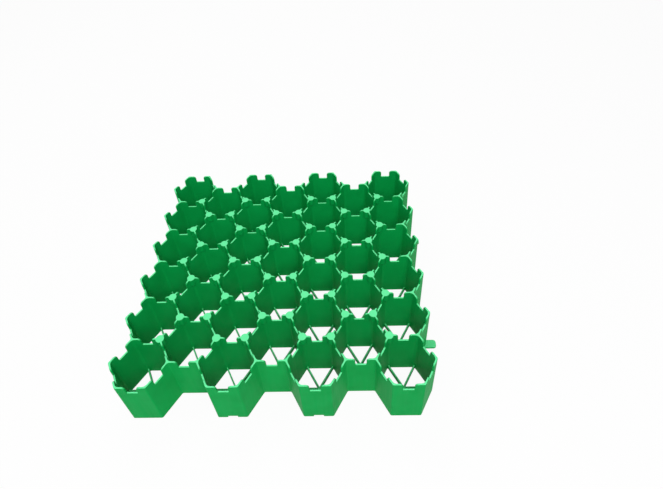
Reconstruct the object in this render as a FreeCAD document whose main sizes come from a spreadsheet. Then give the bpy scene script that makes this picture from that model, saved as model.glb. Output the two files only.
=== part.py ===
import FreeCAD, Part
import Sketcher
import math
import os
from collections import Counter

# One grass paver grid, moulded as one piece of green polyethylene.
# Hexagonal cells share thin upright walls. Each wall has a notch in its top edge, a round boss heads
# each corner where three cells meet, and low ribs cross the foot of each cell from corner to corner.
# Tongues at the foot of the right and back sides reach under the walls of the next grid, through slots
# like those in this one's left and front sides.
# Millimetres. X runs across the columns, Y along them and Z up from the underside.
# The origin is on the underside, where the ribs of the middle cell cross.

NODE = "paver_grid"

# Driving dimensions: value and what it is
DIMENSIONS = {
    "columns": (7, "columns of cells across X, every second one a cell shorter"),
    "rows": (6, "cells in a long column"),
    "cell_pitch": (64.0, "between the middles of opposite walls of a cell"),
    "wall_thickness": (2.2, "cell wall"),
    "grid_height": (80.0, "from the underside to the top of the walls"),
    "notch_width": (14.0, "flat bottom of the notch in a wall's top edge"),
    "notch_depth": (12.0, "below the top of the walls"),
    "shoulder_radius": (4.5, "round shoulders beside a notch, each of two flats"),
    "boss_diameter": (11.0, "boss where three cells meet, across its corners"),
    "boss_depth": (12.0, "boss, down from the top of the walls"),
    "boss_sides": (12, "flats around a boss"),
    "rib_width": (2.0, "ribs across the foot of a cell"),
    "rib_height": (7.0, "ribs above the underside"),
    "tongue_width": (12.0, "joining tongue"),
    "tongue_reach": (14.0, "joining tongue, past the outside of its wall"),
    "tongue_thickness": (2.6, "joining tongue"),
    "tongue_round": (4.0, "corners of a tongue's tip"),
    "tongue_clearance": (0.4, "around a tongue in the next grid's slot"),
}

# Lengths of a regular hexagonal lattice and of its joints, as formulas of the sheet
COLUMN_STEP = "Dims.cell_pitch * sqrt(3) / 2"
CELL_CORNER = "Dims.cell_pitch / sqrt(3)"
WALL_CORNER = "Dims.wall_thickness / sqrt(3)"
TONGUE_ROOT = "Dims.tongue_width / 2 / sqrt(3)"
SLOT_WIDTH = "(Dims.tongue_width + 2 * Dims.tongue_clearance)"
SLOT_HEIGHT = "(Dims.tongue_thickness + Dims.tongue_clearance)"
SLOT_LENGTH = "Dims.wall_thickness + Dims.tongue_reach + Dims.tongue_clearance"

# Directions of a cell's three pairs of opposite corners, in degrees about Z
CORNER_TURNS = (0, 60, 120)

# A cell's corners from its middle, in column steps and cell pitches
CORNERS = ((2 / 3, 0), (1 / 3, 0.5), (-1 / 3, 0.5), (-2 / 3, 0), (-1 / 3, -0.5), (1 / 3, -0.5))

# Middles of three walls of a cell, in column steps and cell pitches, with their turns about Z in degrees
WALLS = ((0, 0.5, 0), (-0.5, 0.25, 60), (0.5, 0.25, -60))

# Columns and rows with joining tongues and slots, counted from either end
JOINED_COLUMN = 2
JOINED_ROW = 1

UP = FreeCAD.Vector(0, 0, 1)

doc = FreeCAD.newDocument("grass_paver_grid")
sheet = doc.addObject("Spreadsheet::Sheet", "Dims")
for line, (alias, (value, meaning)) in enumerate(DIMENSIONS.items(), start=1):
    sheet.set(f"A{line}", alias)
    sheet.set(f"B{line}", str(value))
    sheet.set(f"C{line}", meaning)
    sheet.setAlias(f"B{line}", alias)
doc.recompute()

columns = round(sheet.columns)
rows = round(sheet.rows)


def add(kind, name, sizes, place=("0", "0", "0"), turn=0.0):
    """Add an object turned about Z, its sizes and place bound to formulas of the sheet."""
    piece = doc.addObject(kind, name)
    piece.Placement = FreeCAD.Placement(FreeCAD.Vector(), FreeCAD.Rotation(UP, turn))
    for size, formula in sizes.items():
        piece.setExpression(size, formula)
    for axis, formula in zip("xyz", place):
        piece.setExpression(f"Placement.Base.{axis}", formula)
    return piece


def compound(name, pieces):
    """Gather solids that stay clear of each other."""
    gathered = doc.addObject("Part::Compound", name)
    gathered.Links = pieces
    return gathered


def fuse(name, pieces):
    """Join overlapping solids into one."""
    joined = doc.addObject("Part::MultiFuse", name)
    joined.Shapes = pieces
    return joined


def cut(name, base, tool):
    """Take the tool away from the base."""
    rest = doc.addObject("Part::Cut", name)
    rest.Base = base
    rest.Tool = tool
    return rest


def direction(turn):
    """Cosine and sine of a turn given in degrees."""
    return math.cos(math.radians(turn)), math.sin(math.radians(turn))


def across(steps):
    """X at a number of column steps from the middle of the grid."""
    return f"{steps} * {COLUMN_STEP}"


def along(pitches):
    """Y at a number of cell pitches from the middle of the grid."""
    return f"{pitches} * Dims.cell_pitch"


def cells_in(column):
    """Cells in a column: the odd columns are a cell shorter."""
    return rows - column % 2


def column_place(column):
    """A column's place in column steps from the middle of the grid."""
    return column - (columns - 1) / 2


def cell_places():
    """Middles of all cells, in column steps and cell pitches."""
    for column in range(columns):
        for row in range(cells_in(column)):
            yield column_place(column), row - (cells_in(column) - 1) / 2


def corner_places(steps, pitches):
    """The six corners of the cell in this place, rounded so that shared corners match."""
    return [(round(steps + right, 6), round(pitches + back, 6)) for right, back in CORNERS]


def wall_places():
    """Middles and turns of all walls, each shared wall once."""
    places = {}
    for steps, pitches in cell_places():
        for right, back, turn in WALLS:
            places[steps + right, pitches + back] = turn
            places[steps - right, pitches - back] = turn
    return places.items()


def joined_columns():
    """Columns with tongues at the back and slots at the front."""
    return sorted({JOINED_COLUMN, columns - 1 - JOINED_COLUMN})


def joined_rows():
    """Rows with tongues at the right corners and slots at the left ones."""
    return sorted({JOINED_ROW, rows - 1 - JOINED_ROW})


def hexagon(name, place, width):
    """An upright hexagonal prism in a cell's place, flat to the front and back."""
    sizes = {"Circumradius": f"{width} / sqrt(3)", "Height": "Dims.grid_height"}
    prism = add("Part::Prism", name, sizes, (across(place[0]), along(place[1]), "0"))
    prism.Polygon = 6
    return prism


def bosses():
    """Bosses at the top of the corners where three cells meet, by corner."""
    shared = Counter(corner for cell in cell_places() for corner in corner_places(*cell))
    sizes = {"Circumradius": "Dims.boss_diameter / 2", "Height": "Dims.boss_depth"}
    foot = "Dims.grid_height - Dims.boss_depth"
    heads = {}
    for (steps, pitches), cells in shared.items():
        if cells == 3:
            boss = add("Part::Prism", "boss", sizes, (across(steps), along(pitches), foot))
            boss.setExpression("Polygon", "Dims.boss_sides")
            heads[steps, pitches] = boss
    return heads


def bar(name, start, turn, length, width, height, foot="0"):
    """A flat bar that runs along its turn from the middle of its start edge."""
    cosine, sine = direction(turn)
    sizes = {"Length": length, "Width": width, "Height": height}
    corner = (f"{start[0]} + {sine} * {width} / 2", f"{start[1]} - {cosine} * {width} / 2", foot)
    return add("Part::Box", name, sizes, corner, turn)


def ribs(steps, pitches):
    """Three low bars across a cell, from corner to opposite corner."""
    bars = []
    for turn in CORNER_TURNS:
        cosine, sine = direction(turn)
        start = (
            f"{across(steps)} - {cosine} * {CELL_CORNER}",
            f"{along(pitches)} - {sine} * {CELL_CORNER}",
        )
        bars.append(bar("rib", start, turn, f"2 * {CELL_CORNER}", "Dims.rib_width", "Dims.rib_height"))
    return bars


def hollows():
    """The open inside of each cell, clear of its ribs and of the bosses on its corners."""
    heads = bosses()
    insides = []
    for cell in cell_places():
        inside = hexagon("inside", cell, "(Dims.cell_pitch - Dims.wall_thickness)")
        kept = ribs(*cell) + [heads[corner] for corner in corner_places(*cell) if corner in heads]
        insides.append(cut("hollow", inside, fuse("kept", kept)))
    return insides


def round_tip(tongue, turn):
    """Round the two upright edges at the far end of a tongue."""
    cosine, sine = direction(turn)
    uprights = {}
    for number, edge in enumerate(tongue.Shape.Edges, start=1):
        if edge.BoundBox.ZLength > edge.BoundBox.XLength + edge.BoundBox.YLength:
            uprights[number] = edge.CenterOfMass.dot(FreeCAD.Vector(cosine, sine, 0))
    tip = sorted(uprights, key=uprights.get)[-2:]
    radius = min(sheet.tongue_round, sheet.tongue_width / 2)
    rounded = doc.addObject("Part::Fillet", "rounded_tongue")
    rounded.Base = tongue
    rounded.Edges = [(number, radius, radius) for number in tip]
    return rounded


def tongues():
    """Flat tongues with round-cornered tips, out of back walls and right corners."""
    places = []
    for column in joined_columns():
        start = (across(column_place(column)), along(cells_in(column) / 2))
        places.append((start, 90, "Dims.wall_thickness / 2 + Dims.tongue_reach"))
    for row in joined_rows():
        corner = f"{across(column_place(columns - 1))} + {CELL_CORNER}"
        start = (f"{corner} - {TONGUE_ROOT}", along(row - (rows - 1) / 2))
        places.append((start, 0, f"{TONGUE_ROOT} + {WALL_CORNER} + Dims.tongue_reach"))
    bars = [
        (bar("tongue", start, turn, length, "Dims.tongue_width", "Dims.tongue_thickness"), turn)
        for start, turn, length in places
    ]
    doc.recompute()
    return [round_tip(tongue, turn) for tongue, turn in bars]


def slots():
    """Openings under front walls and left corners that take the tongues of the next grid."""
    places = []
    for column in joined_columns():
        outside = f"{along(-cells_in(column) / 2)} - Dims.wall_thickness / 2"
        start = (across(column_place(column)), f"{outside} - Dims.wall_thickness")
        places.append((start, 90))
    for row in joined_rows():
        outside = f"{across(column_place(0))} - {CELL_CORNER} - {WALL_CORNER}"
        start = (f"{outside} - Dims.wall_thickness", along(row - (rows - 1) / 2))
        places.append((start, 0))
    return [
        bar("slot", start, turn, SLOT_LENGTH, SLOT_WIDTH, f"2 * {SLOT_HEIGHT}", f"-{SLOT_HEIGHT}")
        for start, turn in places
    ]


def notch_profile():
    """Section of a notch: flat bottom, upright sides and round shoulders, open above the walls.

    Points 0 to 4 run up the right side and points 5 to 9 down the left, each the start of a line.
    """
    half = sheet.notch_width / 2
    radius = sheet.shoulder_radius
    top = sheet.grid_height
    short = radius * (1 - math.sqrt(0.5))
    long = radius * math.sqrt(0.5)
    right = (
        (half, top - sheet.notch_depth),
        (half, top - radius),
        (half + short, top - radius + long),
        (half + radius, top),
        (half + radius, top + radius),
    )
    points = [FreeCAD.Vector(x, z) for x, z in right] + [FreeCAD.Vector(-x, z) for x, z in reversed(right)]
    last = len(points) - 1
    sketch = doc.addObject("Sketcher::SketchObject", "notch_profile")
    sketch.Placement = FreeCAD.Placement(
        FreeCAD.Vector(), FreeCAD.Rotation(FreeCAD.Vector(1, 0, 0), 90)
    )
    for number in range(last + 1):
        sketch.addGeometry(Part.LineSegment(points[number], points[(number + 1) % len(points)]))

    start, end = 1, 2
    origin, upright_axis = -1, -2
    for number in range(last + 1):
        sketch.addConstraint(
            Sketcher.Constraint("Coincident", number, end, (number + 1) % len(points), start)
        )
    for number in range(len(right)):
        sketch.addConstraint(
            Sketcher.Constraint("Symmetric", number, start, last - number, start, upright_axis)
        )
    for side in (0, 3):
        sketch.addConstraint(Sketcher.Constraint("Vertical", side))

    def measure(name, kind, first, second, formula):
        gap = points[second] - (FreeCAD.Vector() if first == origin else points[first])
        length = gap.x if kind == "DistanceX" else gap.y
        constraint = Sketcher.Constraint(kind, first, start, second, start, length)
        sketch.renameConstraint(sketch.addConstraint(constraint), name)
        sketch.setExpression(f"Constraints.{name}", formula)

    measure("width", "DistanceX", last, 0, "Dims.notch_width")
    measure("bottom", "DistanceY", origin, 0, "Dims.grid_height - Dims.notch_depth")
    measure("steep_run", "DistanceX", 1, 2, "Dims.shoulder_radius * (1 - sqrt(0.5))")
    measure("steep_rise", "DistanceY", 1, 2, "Dims.shoulder_radius * sqrt(0.5)")
    measure("gentle_run", "DistanceX", 2, 3, "Dims.shoulder_radius * sqrt(0.5)")
    measure("gentle_rise", "DistanceY", 2, 3, "Dims.shoulder_radius * (1 - sqrt(0.5))")
    measure("top", "DistanceY", origin, 3, "Dims.grid_height")
    measure("clear", "DistanceY", origin, 4, "Dims.grid_height + Dims.shoulder_radius")
    return sketch


def notches():
    """A notch cutter square across the middle of each wall."""
    profile = notch_profile()
    cutters = []
    for (steps, pitches), turn in wall_places():
        sizes = {"LengthFwd": "2 * Dims.wall_thickness"}
        cutter = add("Part::Extrusion", "notch", sizes, (across(steps), along(pitches), "0"), turn)
        cutter.Base = profile
        cutter.DirMode = "Custom"
        cutter.Dir = FreeCAD.Vector(0, 1, 0)
        cutter.Symmetric = True
        cutter.Solid = True
        cutters.append(cutter)
    return cutters


cells = [hexagon("cell", place, "(Dims.cell_pitch + Dims.wall_thickness)") for place in cell_places()]
outline = fuse("outline", cells + tongues())
walls = cut("walls", outline, compound("hollows", hollows()))
grid = cut(NODE, walls, compound("openings", notches() + slots()))
grid.Refine = True
grid.Label = NODE
doc.recompute()

for piece in doc.Objects:
    if "Invalid" in piece.State or "Error" in piece.State:
        raise RuntimeError(f"{piece.Name} failed: {piece.State}")
if grid.Shape.isNull() or not grid.Shape.isValid() or len(grid.Shape.Solids) != 1:
    raise RuntimeError(f"{grid.Label} is not one valid solid")

os.makedirs("parts", exist_ok=True)
grid.Shape.exportStep(f"parts/{grid.Label}.step")
box = grid.Shape.BoundBox
extent = " x ".join(f"{side:.1f}" for side in (box.XLength, box.YLength, box.ZLength))
print(f"{grid.Label}: {extent} mm, {grid.Shape.Volume:.0f} mm3")
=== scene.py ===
import math

import bmesh
import bpy
from mathutils import Matrix, Vector


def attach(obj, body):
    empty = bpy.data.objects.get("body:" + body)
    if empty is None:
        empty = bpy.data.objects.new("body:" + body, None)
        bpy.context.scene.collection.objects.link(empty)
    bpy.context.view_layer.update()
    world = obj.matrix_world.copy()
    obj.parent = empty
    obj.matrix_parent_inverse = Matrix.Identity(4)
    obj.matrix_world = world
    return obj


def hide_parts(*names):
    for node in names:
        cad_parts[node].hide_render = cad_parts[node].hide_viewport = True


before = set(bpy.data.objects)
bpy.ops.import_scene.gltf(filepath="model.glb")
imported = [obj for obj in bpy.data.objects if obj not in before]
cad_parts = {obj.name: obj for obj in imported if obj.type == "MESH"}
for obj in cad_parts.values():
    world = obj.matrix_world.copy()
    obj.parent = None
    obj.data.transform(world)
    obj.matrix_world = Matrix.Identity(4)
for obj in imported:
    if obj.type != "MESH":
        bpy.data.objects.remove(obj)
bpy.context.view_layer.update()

bl_info = {
    "name": "Grass paver grid",
    "version": (1, 0, 0),
    "blender": (4, 5, 0),
    "location": "3D View > Sidebar > Paver",
    "description": "Moulds a honeycomb grass paver grid over its CAD frame and sets up its studio",
    "category": "Add Mesh",
}

NODE = "paver_grid"
BODY = "root"
PIECE = "paver_grid_moulding"

MM = 0.001
UP = Vector((0.0, 0.0, 1.0))

# Points nearer than this are one point
WELD = 0.01 * MM

# Corners of a cell, how far its first one is turned, and how far the walls turn at each
CELL_CORNERS = 6
CELL_TURN = math.radians(30)
CORNER_ANGLE = math.radians(60)

# Facets of the rounded shapes: enough to look round at the photograph's distance
SHOULDER_FACETS = 6
NOTCH_FOOT_FACETS = 2
BOSS_FACETS = 10
CORNER_FACETS = 3
OUTER_FACETS = 3
FILLET_FACETS = 3
EDGE_FACETS = 2
TIP_FACETS = 5

# Under the first angle two faces are one flat, over the second an edge is sharp, and over the third a
# hollow upright edge is the side of a boss
FLAT_ANGLE = math.radians(3)
SHARP_ANGLE = math.radians(54)
BOSS_ANGLE = math.radians(66)

# Faces that meet at less than this are shaded as one
SHADE_ANGLE = math.radians(42)

# Least upward part of a level face's normal
LEVEL = 0.99

# A tongue grows out of faces within this share of a cell's side, turned at least this much its way
ROOT_SPAN = 0.55
ROOT_FACING = 0.7

# How much of the painted highlight the top of a rib or tongue gets beside the top of a wall
RIB_HIGHLIGHT_SHARE = 0.8

# Marks in the moulded faces: clouds of flow, marks of drawing from the mould, and how many times as long
# as wide those are
FLOW_MARK = 38 * MM
DRAW_MARK = 3.0 * MM
DRAW_LENGTH = 20

# The mould's spark-eroded grain is about 0.1 mm and is drawn at 0.9 mm, so that it shows
GRAIN = 0.9 * MM

# Depth of the grain and the draw marks
RELIEF = 0.04 * MM

# Colour sockets of a Mix node
MIX_A = 6
MIX_B = 7
MIX_RESULT = 2

WHITE = (1.0, 1.0, 1.0, 1.0)

# Strength of the light that the studio's air gives, and how much of the floor's white the camera sees unlit
AIR_LIGHT = 0.28
FLOOR_GLOW = 0.94

# The floor reaches this far from the middle, and lies this far under the grid
FLOOR_REACH = 4.0
FLOOR_DROP = 0.1 * MM

# Name, place and watts of each lamp, all of one width and turned to the middle of the floor
LAMP_WIDTH = 1.2
LAMPS = (
    ("soft_key", (0.3, -1.0, 1.6), 30.0),
    ("soft_fill", (-1.2, -0.5, 1.1), 4.0),
    ("soft_back", (-0.4, 1.2, 1.5), 14.0),
)

SENSOR_WIDTH = 36.0


def length(name, millimetres, description):
    """A length property, written in millimetres and kept in metres."""
    return bpy.props.FloatProperty(
        name=name,
        description=description,
        default=millimetres * MM,
        min=0.0,
        precision=4,
        unit="LENGTH",
        subtype="DISTANCE",
    )


def linear(hex_colour):
    """Linear RGBA of an sRGB hex colour, by the curve of the sRGB standard."""
    channels = [int(hex_colour[place:place + 2], 16) / 255 for place in (1, 3, 5)]
    return [c / 12.92 if c <= 0.04045 else ((c + 0.055) / 1.055) ** 2.4 for c in channels] + [1.0]


def colour(name, hex_colour, description):
    """A colour property, written as sRGB hex and kept linear."""
    return bpy.props.FloatVectorProperty(
        name=name,
        description=description,
        default=linear(hex_colour),
        min=0.0,
        max=1.0,
        size=4,
        subtype="COLOR",
    )


class PaverSizes(bpy.types.PropertyGroup):
    """Sizes of the moulded grid."""

    columns: bpy.props.IntProperty(
        name="Columns", description="Columns of cells, every second one a cell shorter", default=7, min=1
    )
    rows: bpy.props.IntProperty(name="Rows", description="Cells in a long column", default=6, min=2)
    joined_column: bpy.props.IntProperty(
        name="Joined column",
        description="Column with a tongue and a slot, from either end",
        default=2,
        min=0,
    )
    joined_row: bpy.props.IntProperty(
        name="Joined row",
        description="Row with a tongue and a slot, from either end",
        default=1,
        min=0,
    )
    cell_pitch: length("Cell pitch", 64.0, "Between the middles of opposite walls of a cell")
    wall_thickness: length("Wall thickness", 2.2, "Cell wall")
    grid_height: length("Grid height", 80.0, "From the underside to the top of the walls")
    notch_width: length("Notch width", 14.0, "Flat bottom of the notch in a wall's top edge")
    notch_depth: length("Notch depth", 12.0, "Below the top of the walls")
    notch_foot_round: length("Notch foot radius", 0.8, "Inner corners at the bottom of a notch")
    shoulder_radius: length("Shoulder radius", 4.5, "Round shoulders beside a notch")
    boss_diameter: length("Boss diameter", 11.0, "Boss where three cells meet")
    boss_depth: length("Boss depth", 12.0, "Boss, down from the top of the walls")
    boss_fillet: length("Boss fillet", 0.6, "Inner corner between a boss and a wall")
    rib_width: length("Rib width", 2.0, "Ribs across the foot of a cell")
    rib_height: length("Rib height", 7.0, "Ribs above the underside")
    tongue_width: length("Tongue width", 12.0, "Joining tongue")
    tongue_reach: length("Tongue reach", 14.0, "Joining tongue, past the outside of its wall")
    tongue_thickness: length("Tongue thickness", 2.6, "Joining tongue")
    tongue_round: length("Tongue corner radius", 4.0, "Corners of a tongue's tip")
    tongue_clearance: length("Tongue clearance", 0.4, "Around a tongue in the next grid's slot")
    outer_round: length("Outer corner radius", 2.5, "Upright edges of the corners at the grid's sides")
    edge_round: length("Edge radius", 0.35, "Softened edges of the moulding")


class PaverFinish(bpy.types.PropertyGroup):
    """Colours of the moulded polyethylene, and the paler green of its painted highlight."""

    wall_green: colour("Wall green", "#06a44e", "Moulded faces")
    deep_green: colour("Deep green", "#049a47", "Flow marks in the moulded faces")
    # Painted highlight: the paler green that faces looking up, such as the tops of walls and bosses, are
    # mixed towards
    highlight_green: colour("Rim green", "#60da94", "Paler top edges and bosses")


class PaverStudio(bpy.types.PropertyGroup):
    """Floor and camera."""

    floor_white: colour("Floor", "#d9d9d9", "Matt floor")
    camera_place: bpy.props.FloatVectorProperty(
        name="Camera",
        description="Where the camera stands",
        default=(0.10468, -0.46538, 0.64235),
        unit="LENGTH",
        subtype="TRANSLATION",
    )
    camera_turn: bpy.props.FloatVectorProperty(
        name="Camera turn",
        description="How the camera is turned",
        default=[math.radians(angle) for angle in (49.760, 2.709, 0.598)],
        unit="ROTATION",
        subtype="EULER",
    )
    camera_lens: bpy.props.FloatProperty(
        name="Lens", description="Focal length in millimetres", default=26.469, min=1.0
    )
    camera_shift: bpy.props.FloatProperty(
        name="Camera shift",
        description="Upward shift of the frame, as a share of its width",
        default=-0.1124,
    )


def cell_side(sizes):
    """Length of a cell's side, between the middles of its corners."""
    return sizes.cell_pitch / math.sqrt(3)


def column_place(sizes, column):
    """X of the middle of a column."""
    step = sizes.cell_pitch * math.sqrt(3) / 2
    return (column - (sizes.columns - 1) / 2) * step


def row_place(sizes, row, cells):
    """Y of the middle of a cell in a column of so many cells."""
    return (row - (cells - 1) / 2) * sizes.cell_pitch


def plan_lattice(sizes):
    """The grid in plan: a face for each cell, an edge for each wall and a vertex for each corner."""
    lattice = bmesh.new()
    turn = Matrix.Rotation(CELL_TURN, 4, "Z")
    for column in range(sizes.columns):
        cells = sizes.rows - column % 2
        for row in range(cells):
            middle = (column_place(sizes, column), row_place(sizes, row, cells), 0)
            bmesh.ops.create_circle(
                lattice, cap_ends=True, segments=CELL_CORNERS, radius=cell_side(sizes),
                matrix=Matrix.Translation(middle) @ turn,
            )
    bmesh.ops.remove_doubles(lattice, verts=lattice.verts, dist=WELD)
    return lattice


def joined_places(sizes):
    """Middles of the joined columns and rows."""
    columns = sorted({sizes.joined_column, sizes.columns - 1 - sizes.joined_column})
    rows = sorted({sizes.joined_row, sizes.rows - 1 - sizes.joined_row})
    across = [column_place(sizes, column) for column in columns]
    along = [row_place(sizes, row, sizes.rows) for row in rows]
    return across, along


def side_edge(sizes):
    """How far from the middle the corners at the left and right are."""
    return column_place(sizes, sizes.columns - 1) + cell_side(sizes)


def end_edge(sizes):
    """How far from the middle the middles of the front and back walls are."""
    return sizes.rows / 2 * sizes.cell_pitch


def is_slotted_corner(sizes, corner):
    """True for a left corner with a slot under it."""
    at_left = abs(corner.co.x + side_edge(sizes)) < MM
    return at_left and any(abs(corner.co.y - along) < MM for along in joined_places(sizes)[1])


def is_slotted_wall(sizes, wall):
    """True for a front wall with a slot under it."""
    middle = (wall.verts[0].co + wall.verts[1].co) / 2
    at_front = abs(middle.y + end_edge(sizes)) < MM
    return at_front and any(abs(middle.x - across) < MM for across in joined_places(sizes)[0])


def slot_height(sizes):
    """Height of a slot above the underside."""
    return sizes.tongue_thickness + sizes.tongue_clearance


def slot_half_width(sizes):
    """Half the width of a slot."""
    return sizes.tongue_width / 2 + sizes.tongue_clearance


def slot_run(sizes):
    """How far along a wall a slot goes from its corner."""
    return slot_half_width(sizes) / math.sin(CORNER_ANGLE)


def has_boss(corner):
    """Bosses head the corners where three cells meet."""
    return len(corner.link_faces) == 3


def is_one_cell(corner):
    """True for a corner that stands out at the edge of the grid."""
    return len(corner.link_faces) == 1


def boss_foot(sizes):
    """Height of a boss's underside."""
    return sizes.grid_height - sizes.boss_depth


def boss_setback(sizes):
    """How far from a corner a wall meets the side of its boss."""
    return math.sqrt((sizes.boss_diameter / 2) ** 2 - (sizes.wall_thickness / 2) ** 2)


def inner_radius(sizes):
    """Radius of a cell's corners, at which the middle facet is as wide as a rib."""
    return sizes.rib_width / 2 / math.sin(CORNER_ANGLE / CORNER_FACETS / 2)


def inner_reach(sizes):
    """How far from the walls' middles the round of a cell's corner has its axis."""
    return inner_radius(sizes) + sizes.wall_thickness / 2


def outer_reach(sizes, corner):
    """How far from the walls' middles the round outside a corner has its axis, inside or in the hollow."""
    half = sizes.wall_thickness / 2
    return sizes.outer_round - half if is_one_cell(corner) else sizes.outer_round + half


def setback(reach):
    """How far from a corner a wall's face ends, along the wall, for a round with its axis at that reach."""
    return reach * math.tan(CORNER_ANGLE / 2)


def rib_setback(sizes):
    """How far from a corner a rib ends."""
    axis = inner_reach(sizes) / math.sin(CORNER_ANGLE)
    return axis - inner_radius(sizes) * math.cos(CORNER_ANGLE / CORNER_FACETS / 2)


def unique(items):
    """Each item once, in order."""
    return list(dict.fromkeys(items))


def verts_in(geometry):
    """The vertices among some geometry."""
    return [item for item in geometry if isinstance(item, bmesh.types.BMVert)]


def geometry_of(faces):
    """Faces with their edges and vertices."""
    edges = unique(edge for face in faces for edge in face.edges)
    verts = unique(vert for face in faces for vert in face.verts)
    return faces + edges + verts


def rise(edge):
    """How much higher one end of an edge is than the other."""
    return abs(edge.verts[0].co.z - edge.verts[1].co.z)


def round_off(part, geometry, radius, facets, affect):
    """Round some edges or vertices."""
    bmesh.ops.bevel(
        part, geom=geometry, offset=radius, offset_type="OFFSET", segments=facets, profile=0.5,
        affect=affect, material=-1,
    )


def sweep(part, low, high, centre, angle, facets):
    """Sweep an upright edge about an upright axis."""
    ends = [part.verts.new(low), part.verts.new(high)]
    bmesh.ops.spin(
        part, geom=ends + [part.edges.new(ends)], cent=centre, axis=UP, angle=angle, steps=facets,
        use_duplicate=False,
    )


def join(grid, part, place):
    """Add a part to the grid in its place."""
    part.transform(place)
    moved = bpy.data.meshes.new("part")
    part.to_mesh(moved)
    part.free()
    grid.from_mesh(moved)
    bpy.data.meshes.remove(moved)


def end_outline(sizes, corner, reach):
    """Outline points of a wall's end, from the foot up."""
    points = [(reach, 0.0)]
    if has_boss(corner):
        beside = reach - boss_setback(sizes)
        points += [(reach, boss_foot(sizes)), (beside, boss_foot(sizes)), (beside, sizes.grid_height)]
    else:
        points.append((reach, sizes.grid_height))
    if is_slotted_corner(sizes, corner):
        inner = reach - slot_run(sizes)
        points[:1] = [(inner, 0.0), (inner, slot_height(sizes)), (reach, slot_height(sizes))]
    return points


def wall_outline(sizes, wall, reach):
    """Outline points of a wall with its notch and slot, along the wall and up."""
    start, end = wall.verts
    notch = sizes.notch_width / 2
    top = sizes.grid_height
    foot = top - sizes.notch_depth
    outline = end_outline(sizes, end, reach)
    outline += [(notch, top), (notch, foot), (-notch, foot), (-notch, top)]
    outline += [(-x, z) for x, z in reversed(end_outline(sizes, start, reach))]
    if is_slotted_wall(sizes, wall):
        slot = slot_half_width(sizes)
        lintel = slot_height(sizes)
        outline += [(-slot, 0.0), (-slot, lintel), (slot, lintel), (slot, 0.0)]
    return outline


def round_notch(part, sizes):
    """Round the shoulders and the foot of a wall's notch."""
    notch = sizes.notch_width / 2
    top = sizes.grid_height
    foot = top - sizes.notch_depth
    rounds = (
        (top, sizes.shoulder_radius, SHOULDER_FACETS),
        (foot, sizes.notch_foot_round, NOTCH_FOOT_FACETS),
    )
    for height, radius, facets in rounds:
        corners = [
            vert for vert in part.verts
            if abs(abs(vert.co.x) - notch) < WELD and abs(vert.co.z - height) < WELD
        ]
        round_off(part, corners, radius, facets, "VERTICES")


def add_wall(grid, sizes, wall):
    """One wall with its notch, open at the ends that meet the corners."""
    start, end = wall.verts
    run = end.co - start.co
    middle = (start.co + end.co) / 2
    reach = run.length / 2
    half = sizes.wall_thickness / 2

    part = bmesh.new()
    part.faces.new([part.verts.new((x, -half, z)) for x, z in wall_outline(sizes, wall, reach)])
    round_notch(part, sizes)
    raised = bmesh.ops.extrude_face_region(part, geom=part.faces[:])["geom"]
    bmesh.ops.translate(part, vec=(0, sizes.wall_thickness, 0), verts=verts_in(raised))
    ends = []
    for face in part.faces:
        x = face.calc_center_median().x
        inset = boss_setback(sizes) if has_boss(end if x > 0 else start) else 0.0
        if abs(x) > reach - inset - WELD:
            ends.append(face)
    bmesh.ops.delete(part, geom=ends, context="FACES")

    cell_sides = {
        math.copysign(1.0, run.cross(cell.calc_center_median() - middle).z) for cell in wall.link_faces
    }
    lean = half / math.tan(CORNER_ANGLE)
    for vert in part.verts:
        corner = end if vert.co.x > 0 else start
        way = math.copysign(1.0, vert.co.x)
        in_cell = math.copysign(1.0, vert.co.y) in cell_sides
        if abs(vert.co.x) > reach - WELD:
            axis = inner_reach(sizes) if in_cell else outer_reach(sizes, corner)
            vert.co.x = way * (reach - setback(axis))
        elif is_slotted_corner(sizes, corner) and abs(abs(vert.co.x) - reach + slot_run(sizes)) < WELD:
            vert.co.x -= way * (lean if in_cell else -lean)
    turn = Matrix.Rotation(math.atan2(run.y, run.x), 4, "Z")
    join(grid, part, Matrix.Translation(middle) @ turn)


def add_boss(grid, sizes, corner):
    """The round sides of a boss between its walls."""
    radius = sizes.boss_diameter / 2
    to_wall = math.asin(sizes.wall_thickness / 2 / radius)
    angle = 2 * (CORNER_ANGLE - to_wall)
    part = bmesh.new()
    for wall in corner.link_edges:
        arm = wall.other_vert(corner).co - corner.co
        turn = Matrix.Rotation(math.atan2(arm.y, arm.x) + to_wall, 4, "Z")
        low = turn @ Vector((radius, 0, boss_foot(sizes)))
        sweep(part, low, low + sizes.boss_depth * UP, Vector(), angle, BOSS_FACETS)
    join(grid, part, Matrix.Translation(corner.co))


def corner_round(sizes, corner, inward, reach, radius, facets):
    """A round upright face at a corner, up to its boss, about an axis on its inward side."""
    centre = inward * reach / math.sin(CORNER_ANGLE)
    side = centre - Matrix.Rotation(-CORNER_ANGLE / 2, 3, "Z") @ inward * radius
    foot = slot_height(sizes) if is_slotted_corner(sizes, corner) else 0.0
    top = boss_foot(sizes) if has_boss(corner) else sizes.grid_height
    part = bmesh.new()
    sweep(part, side + foot * UP, side + top * UP, centre, CORNER_ANGLE, facets)
    return part


def to_cells(corner):
    """Unit direction from a corner towards the cells around it."""
    ways = [(cell.calc_center_median() - corner.co).normalized() for cell in corner.link_faces]
    return sum(ways, Vector()).normalized()


def add_outer_corner(grid, sizes, corner):
    """The round outer face of a corner at the edge of the grid, hollow where two cells meet."""
    inward = to_cells(corner) if is_one_cell(corner) else -to_cells(corner)
    reach = outer_reach(sizes, corner)
    part = corner_round(sizes, corner, inward, reach, sizes.outer_round, OUTER_FACETS)
    join(grid, part, Matrix.Translation(corner.co))


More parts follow.
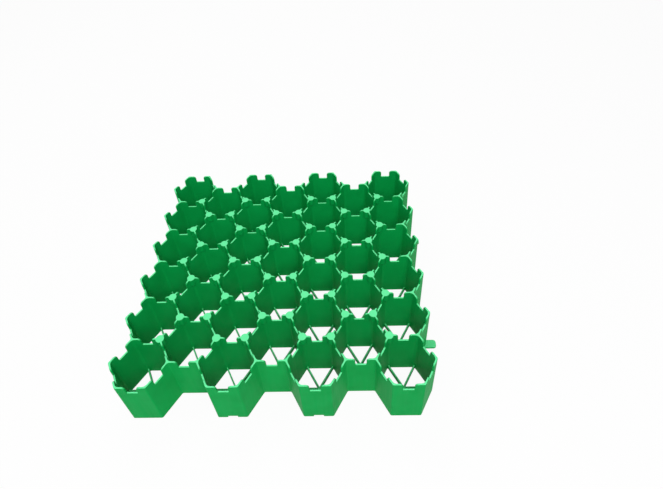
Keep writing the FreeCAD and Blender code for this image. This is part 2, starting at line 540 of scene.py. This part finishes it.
def add_cell_corner(grid, sizes, cell, corner):
    """The round inner corner of a cell, open where its rib meets it."""
    inward = (cell.calc_center_median() - corner.co).normalized()
    part = corner_round(sizes, corner, inward, inner_reach(sizes), inner_radius(sizes), CORNER_FACETS)
    middle = min(part.faces, key=lambda face: face.calc_center_median().dot(inward))
    bmesh.ops.bisect_plane(
        part, geom=geometry_of([middle]), plane_co=sizes.rib_height * UP, plane_no=UP
    )
    low = [face for face in part.faces if face.calc_center_median().z < sizes.rib_height]
    bmesh.ops.delete(part, geom=low, context="FACES")
    join(grid, part, Matrix.Translation(corner.co))


def open_tube(part, start, end, half, low, high):
    """A square tube along X, open at both ends."""
    outline = ((-half, low), (half, low), (half, high), (-half, high))
    section = [part.verts.new((start, y, z)) for y, z in outline]
    ring = [part.edges.new((section[place], section[place - 1])) for place in range(len(section))]
    tip = verts_in(bmesh.ops.extrude_edge_only(part, edges=ring)["geom"])
    bmesh.ops.translate(part, vec=(end - start, 0, 0), verts=tip)
    return tip


def add_rib(grid, sizes, cell, corner):
    """A rib from the middle of a cell to its corner, over the slot where there is one."""
    middle = cell.calc_center_median()
    run = corner.co - middle
    half = sizes.rib_width / 2
    hub = half / math.tan(CORNER_ANGLE / 2)
    tip = run.length - rib_setback(sizes)
    part = bmesh.new()
    if is_slotted_corner(sizes, corner):
        lintel = slot_height(sizes)
        outside = sizes.wall_thickness / 2 / math.sin(CORNER_ANGLE)
        step = run.length + outside - sizes.tongue_reach - sizes.tongue_clearance
        stepped = open_tube(part, hub, step, half, 0.0, sizes.rib_height)
        uprights = unique(edge for vert in stepped for edge in vert.link_edges if rise(edge) > WELD)
        for edge in uprights:
            low = min(edge.verts, key=lambda vert: vert.co.z)
            bmesh.utils.edge_split(edge, low, lintel / sizes.rib_height)
        open_tube(part, step, tip, half, lintel, sizes.rib_height)
    else:
        open_tube(part, hub, tip, half, 0.0, sizes.rib_height)
    turn = Matrix.Rotation(math.atan2(run.y, run.x), 4, "Z")
    join(grid, part, Matrix.Translation(middle) @ turn)


def tongue_root(grid, sizes, root, out):
    """Cut the outline of a tongue into the outer faces at its root, and give the faces inside it."""
    across = UP.cross(out)
    half = sizes.tongue_width / 2
    faces = []
    for face in grid.faces:
        gap = face.calc_center_median() - root
        gap.z = 0
        if face.normal.dot(out) > ROOT_FACING and gap.length < ROOT_SPAN * cell_side(sizes):
            faces.append(face)
    cuts = [(sizes.tongue_thickness * UP, UP)]
    cuts += [(root + side * across * half, across) for side in (-1, 1)]
    for place, normal in cuts:
        cut = bmesh.ops.bisect_plane(grid, geom=geometry_of(faces), plane_co=place, plane_no=normal)["geom"]
        faces = [
            item for item in cut
            if isinstance(item, bmesh.types.BMFace) and item.calc_center_median().z < sizes.tongue_thickness
        ]
    return [face for face in faces if abs((face.calc_center_median() - root).dot(across)) < half]


def is_tip_corner(sizes, root, out, edge):
    """True for an upright edge at a corner of a tongue's tip."""
    across = UP.cross(out)
    at_tip = all(
        abs((vert.co - root).dot(out) - sizes.tongue_reach) < WELD
        and abs(abs((vert.co - root).dot(across)) - sizes.tongue_width / 2) < WELD
        for vert in edge.verts
    )
    return at_tip and rise(edge) > WELD


def draw_tongue(grid, sizes, root, out):
    """Draw a tongue out of the foot of the outer faces at its root."""
    patch = tongue_root(grid, sizes, root, out)
    tip = verts_in(bmesh.ops.extrude_face_region(grid, geom=patch)["geom"])
    bmesh.ops.delete(grid, geom=patch, context="FACES")
    for vert in tip:
        vert.co += out * (sizes.tongue_reach - (vert.co - root).dot(out))
    tongue = unique(face for vert in tip for face in vert.link_faces)
    for face in tongue:
        face.normal_update()
    inner = [
        edge for edge in unique(edge for face in tongue for edge in face.edges)
        if set(edge.link_faces) <= set(tongue) and edge.calc_face_angle() < FLAT_ANGLE
    ]
    bmesh.ops.dissolve_edges(grid, edges=inner, use_verts=True, use_face_split=False)
    corners = [edge for edge in grid.edges if is_tip_corner(sizes, root, out, edge)]
    round_off(grid, corners, sizes.tongue_round, TIP_FACETS, "EDGES")


def draw_tongues(grid, sizes):
    """Tongues out of the back walls of the joined columns and the right corners of the joined rows."""
    columns, rows = joined_places(sizes)
    back = end_edge(sizes) + sizes.wall_thickness / 2
    right = side_edge(sizes) + sizes.wall_thickness / 2 / math.sin(CORNER_ANGLE)
    for across in columns:
        draw_tongue(grid, sizes, Vector((across, back, 0)), Vector((0, 1, 0)))
    for along in rows:
        draw_tongue(grid, sizes, Vector((right, along, 0)), Vector((1, 0, 0)))


def is_top(sizes, face):
    """True for a level face above the ribs."""
    return face.normal.z > LEVEL and face.calc_center_median().z > sizes.rib_height


def soften(grid, sizes):
    """Make each top one face, fillet the bosses into the walls and take the sharpness off the edges."""
    flush = [
        edge for edge in grid.edges
        if edge.calc_face_angle() < FLAT_ANGLE and all(is_top(sizes, face) for face in edge.link_faces)
    ]
    bmesh.ops.dissolve_edges(grid, edges=flush, use_verts=False, use_face_split=False)
    inner = [
        edge for edge in grid.edges
        if not edge.is_convex and edge.calc_face_angle() > BOSS_ANGLE
        and rise(edge) > sizes.boss_depth - WELD
    ]
    round_off(grid, inner, sizes.boss_fillet, FILLET_FACETS, "EDGES")
    # The edges of the underside stay sharp
    sharp = [
        edge for edge in grid.edges
        if edge.is_convex and edge.calc_face_angle() > SHARP_ANGLE
        and max(vert.co.z for vert in edge.verts) > sizes.tongue_thickness / 2
    ]
    round_off(grid, sharp, sizes.edge_round, EDGE_FACETS, "EDGES")
    bmesh.ops.dissolve_degenerate(grid, dist=WELD, edges=grid.edges)


def paint_top_highlights(grid, sizes):
    """Keep on each face how much painted highlight it gets: all if it is level, none if it leans 60
    degrees.
    """
    painted_highlight = grid.faces.layers.float.new("painted_highlight")
    for face in grid.faces:
        # Painted highlight: the more a face looks up, the more of the paler green it gets
        level = max(0.0, 2 * face.normal.z - 1)
        is_low = face.calc_center_median().z < 2 * sizes.rib_height
        # The low tops of ribs and tongues get less of the painted highlight
        face[painted_highlight] = RIB_HIGHLIGHT_SHARE * level if is_low else level
        face.smooth = True


def mould(sizes):
    """The whole moulding as one closed mesh."""
    lattice = plan_lattice(sizes)
    grid = bmesh.new()
    for wall in lattice.edges:
        add_wall(grid, sizes, wall)
    for corner in lattice.verts:
        if has_boss(corner):
            add_boss(grid, sizes, corner)
        else:
            add_outer_corner(grid, sizes, corner)
    for cell in lattice.faces:
        for corner in cell.verts:
            add_rib(grid, sizes, cell, corner)
            add_cell_corner(grid, sizes, cell, corner)
    lattice.free()
    bmesh.ops.remove_doubles(grid, verts=grid.verts, dist=WELD)
    bmesh.ops.holes_fill(grid, edges=[edge for edge in grid.edges if edge.is_boundary], sides=0)
    bmesh.ops.recalc_face_normals(grid, faces=grid.faces)
    draw_tongues(grid, sizes)
    bmesh.ops.recalc_face_normals(grid, faces=grid.faces)
    soften(grid, sizes)
    open_edges = sum(not edge.is_manifold for edge in grid.edges)
    if open_edges:
        raise RuntimeError(f"the moulding has {open_edges} open edges")
    paint_top_highlights(grid, sizes)
    return grid


def add_node(tree, kind, inputs=None, **settings):
    """Add a node with its settings. An input takes a value or the socket that feeds it."""
    node = tree.nodes.new(kind)
    for name, value in settings.items():
        setattr(node, name, value)
    for name, value in (inputs or {}).items():
        if isinstance(value, bpy.types.NodeSocket):
            tree.links.new(value, node.inputs[name])
        else:
            node.inputs[name].default_value = value
    return node


def new_material(name):
    """An empty material with its output node."""
    material = bpy.data.materials.new(name)
    material.use_nodes = True
    tree = material.node_tree
    tree.nodes.clear()
    return material, tree, add_node(tree, "ShaderNodeOutputMaterial")


def moulded_polyethylene(finish):
    """High-density polyethylene, injection moulded: a soft satin face with faint flow marks, paler at the
    top edges and bosses by a painted highlight on the faces that look up."""
    material, tree, output = new_material("moulded_green_polyethylene")
    place = add_node(tree, "ShaderNodeTexCoord").outputs["Object"]
    flow = add_node(
        tree, "ShaderNodeTexNoise",
        {"Vector": place, "Scale": 1 / FLOW_MARK, "Detail": 3.0, "Roughness": 0.55},
    ).outputs["Fac"]
    drawn = add_node(
        tree, "ShaderNodeMapping", {"Vector": place, "Scale": (1.0, 1.0, 1 / DRAW_LENGTH)}
    ).outputs["Vector"]
    draw_marks = add_node(
        tree, "ShaderNodeTexNoise",
        {"Vector": drawn, "Scale": 1 / DRAW_MARK, "Detail": 2.0, "Roughness": 0.5},
    ).outputs["Fac"]
    grain = add_node(
        tree, "ShaderNodeTexNoise", {"Vector": place, "Scale": 1 / GRAIN, "Detail": 2.0}
    ).outputs["Fac"]
    # How much painted highlight each face gets
    painted_highlight = add_node(tree, "ShaderNodeAttribute", attribute_name="painted_highlight").outputs["Fac"]

    marks = add_node(
        tree, "ShaderNodeMapRange", {"Value": flow, "From Min": 0.35, "From Max": 0.7}
    ).outputs["Result"]
    walls = add_node(
        tree, "ShaderNodeMix",
        {"Factor": marks, MIX_A: finish.wall_green, MIX_B: finish.deep_green}, data_type="RGBA",
    ).outputs[MIX_RESULT]
    # Painted highlight: faces that look up are mixed towards the paler green
    highlighted_walls = add_node(
        tree, "ShaderNodeMix", {"Factor": painted_highlight, MIX_A: walls, MIX_B: finish.highlight_green}, data_type="RGBA"
    ).outputs[MIX_RESULT]
    rough = add_node(
        tree, "ShaderNodeMapRange",
        {"Value": draw_marks, "From Min": 0.3, "From Max": 0.7, "To Min": 0.48, "To Max": 0.58},
    ).outputs["Result"]
    relief = add_node(tree, "ShaderNodeMath", {0: grain, 1: draw_marks}, operation="ADD").outputs["Value"]
    bump = add_node(
        tree, "ShaderNodeBump", {"Height": relief, "Strength": 0.25, "Distance": RELIEF}
    ).outputs["Normal"]
    # The specular level is low, because the real faces hardly shine
    shader = add_node(
        tree, "ShaderNodeBsdfPrincipled",
        {"Base Color": highlighted_walls, "Roughness": rough, "IOR": 1.54, "Specular IOR Level": 0.04, "Normal": bump},
    )
    tree.links.new(shader.outputs["BSDF"], output.inputs["Surface"])
    return material


def seen_as_background(tree):
    """1 where the camera sees a surface, also reflected or through glass, and 0 for other light."""
    path = add_node(tree, "ShaderNodeLightPath").outputs
    reflected = add_node(
        tree, "ShaderNodeMath", {0: path["Is Camera Ray"], 1: path["Is Glossy Ray"]}, operation="MAXIMUM"
    ).outputs["Value"]
    return add_node(
        tree, "ShaderNodeMath", {0: reflected, 1: path["Is Transmission Ray"]}, operation="MAXIMUM"
    ).outputs["Value"]


def matt_floor(studio):
    """Matt white board. The camera sees it near white, with the object's shadow still on it."""
    material, tree, output = new_material("matt_white_board")
    lit = add_node(tree, "ShaderNodeBsdfDiffuse", {"Color": studio.floor_white}).outputs["BSDF"]
    glow = add_node(tree, "ShaderNodeEmission", {"Color": WHITE, "Strength": 1.0}).outputs["Emission"]
    share = add_node(
        tree, "ShaderNodeMath", {0: seen_as_background(tree), 1: FLOOR_GLOW}, operation="MULTIPLY"
    ).outputs["Value"]
    mixed = add_node(tree, "ShaderNodeMixShader", {0: share, 1: lit, 2: glow}).outputs["Shader"]
    tree.links.new(mixed, output.inputs["Surface"])
    return material


class PAVER_OT_grid(bpy.types.Operator):
    """Mould the grid's walls, bosses, ribs and tongues as one piece"""

    bl_idname = "paver.grid"
    bl_label = "Mould the grid"

    def execute(self, context):
        grid = mould(context.scene.paver_sizes)
        mesh = bpy.data.meshes.new(PIECE)
        grid.to_mesh(mesh)
        grid.free()
        mesh.set_sharp_from_angle(angle=SHADE_ANGLE)
        mesh.materials.append(moulded_polyethylene(context.scene.paver_finish))
        piece = bpy.data.objects.new(PIECE, mesh)
        context.scene.collection.objects.link(piece)
        shading = piece.modifiers.new("flat_faces", "WEIGHTED_NORMAL")
        shading.keep_sharp = True
        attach(piece, BODY)
        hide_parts(NODE)
        return {"FINISHED"}


class PAVER_OT_studio(bpy.types.Operator):
    """Lay the floor and set the lights and the camera"""

    bl_idname = "paver.studio"
    bl_label = "Set up the studio"

    def execute(self, context):
        studio = context.scene.paver_studio
        self.lay_floor(context, studio)
        self.fill_air(context)
        self.hang_lamps(context)
        self.aim_camera(context, studio)
        context.scene.view_settings.view_transform = "Standard"
        return {"FINISHED"}

    def lay_floor(self, context, studio):
        """A flat board just under the grid."""
        board = bmesh.new()
        bmesh.ops.create_grid(
            board, x_segments=1, y_segments=1, size=FLOOR_REACH,
            matrix=Matrix.Translation((0, 0, -FLOOR_DROP)),
        )
        mesh = bpy.data.meshes.new("studio_floor")
        board.to_mesh(mesh)
        board.free()
        mesh.materials.append(matt_floor(studio))
        floor = bpy.data.objects.new("studio_floor", mesh)
        context.scene.collection.objects.link(floor)

    def fill_air(self, context):
        """A world that the camera sees white, and that lights the object more weakly."""
        world = bpy.data.worlds.new("studio_air")
        world.use_nodes = True
        tree = world.node_tree
        tree.nodes.clear()
        level = add_node(
            tree, "ShaderNodeMapRange",
            {"Value": seen_as_background(tree), "To Min": AIR_LIGHT, "To Max": 1.0},
        ).outputs["Result"]
        air = add_node(tree, "ShaderNodeBackground", {"Color": WHITE, "Strength": level})
        output = add_node(tree, "ShaderNodeOutputWorld")
        tree.links.new(air.outputs["Background"], output.inputs["Surface"])
        context.scene.world = world

    def hang_lamps(self, context):
        """Wide soft lamps."""
        for name, place, watts in LAMPS:
            data = bpy.data.lights.new(name, "AREA")
            data.size = LAMP_WIDTH
            data.energy = watts
            lamp = bpy.data.objects.new(name, data)
            lamp.location = place
            lamp.rotation_euler = (-Vector(place)).to_track_quat("-Z", "Y").to_euler()
            context.scene.collection.objects.link(lamp)

    def aim_camera(self, context, studio):
        """The photograph's view."""
        data = bpy.data.cameras.new("photo_camera")
        data.sensor_width = SENSOR_WIDTH
        data.lens = studio.camera_lens
        data.shift_y = studio.camera_shift
        camera = bpy.data.objects.new("photo_camera", data)
        camera.location = studio.camera_place
        camera.rotation_euler = studio.camera_turn
        context.scene.collection.objects.link(camera)
        context.scene.camera = camera


class PAVER_PT_sidebar(bpy.types.Panel):
    """Sizes, finish and studio of the paver grid"""

    bl_idname = "PAVER_PT_sidebar"
    bl_label = "Grass paver grid"
    bl_space_type = "VIEW_3D"
    bl_region_type = "UI"
    bl_category = "Paver"

    def draw(self, context):
        scene = context.scene
        for group in (scene.paver_sizes, scene.paver_finish, scene.paver_studio):
            box = self.layout.box()
            for name in group.bl_rna.properties.keys():
                if name not in ("rna_type", "name"):
                    box.prop(group, name)
        for operator in (PAVER_OT_grid, PAVER_OT_studio):
            self.layout.operator(operator.bl_idname)


CLASSES = (PaverSizes, PaverFinish, PaverStudio, PAVER_OT_grid, PAVER_OT_studio, PAVER_PT_sidebar)


def register():
    """Register the classes and give each scene its settings."""
    for cls in CLASSES:
        bpy.utils.register_class(cls)
    bpy.types.Scene.paver_sizes = bpy.props.PointerProperty(type=PaverSizes)
    bpy.types.Scene.paver_finish = bpy.props.PointerProperty(type=PaverFinish)
    bpy.types.Scene.paver_studio = bpy.props.PointerProperty(type=PaverStudio)


def unregister():
    """Take the settings and the classes away again."""
    del bpy.types.Scene.paver_studio
    del bpy.types.Scene.paver_finish
    del bpy.types.Scene.paver_sizes
    for cls in reversed(CLASSES):
        bpy.utils.unregister_class(cls)


def main():
    """Build the grid and its studio."""
    register()
    bpy.ops.paver.grid()
    bpy.ops.paver.studio()


if __name__ == "__main__":
    main()
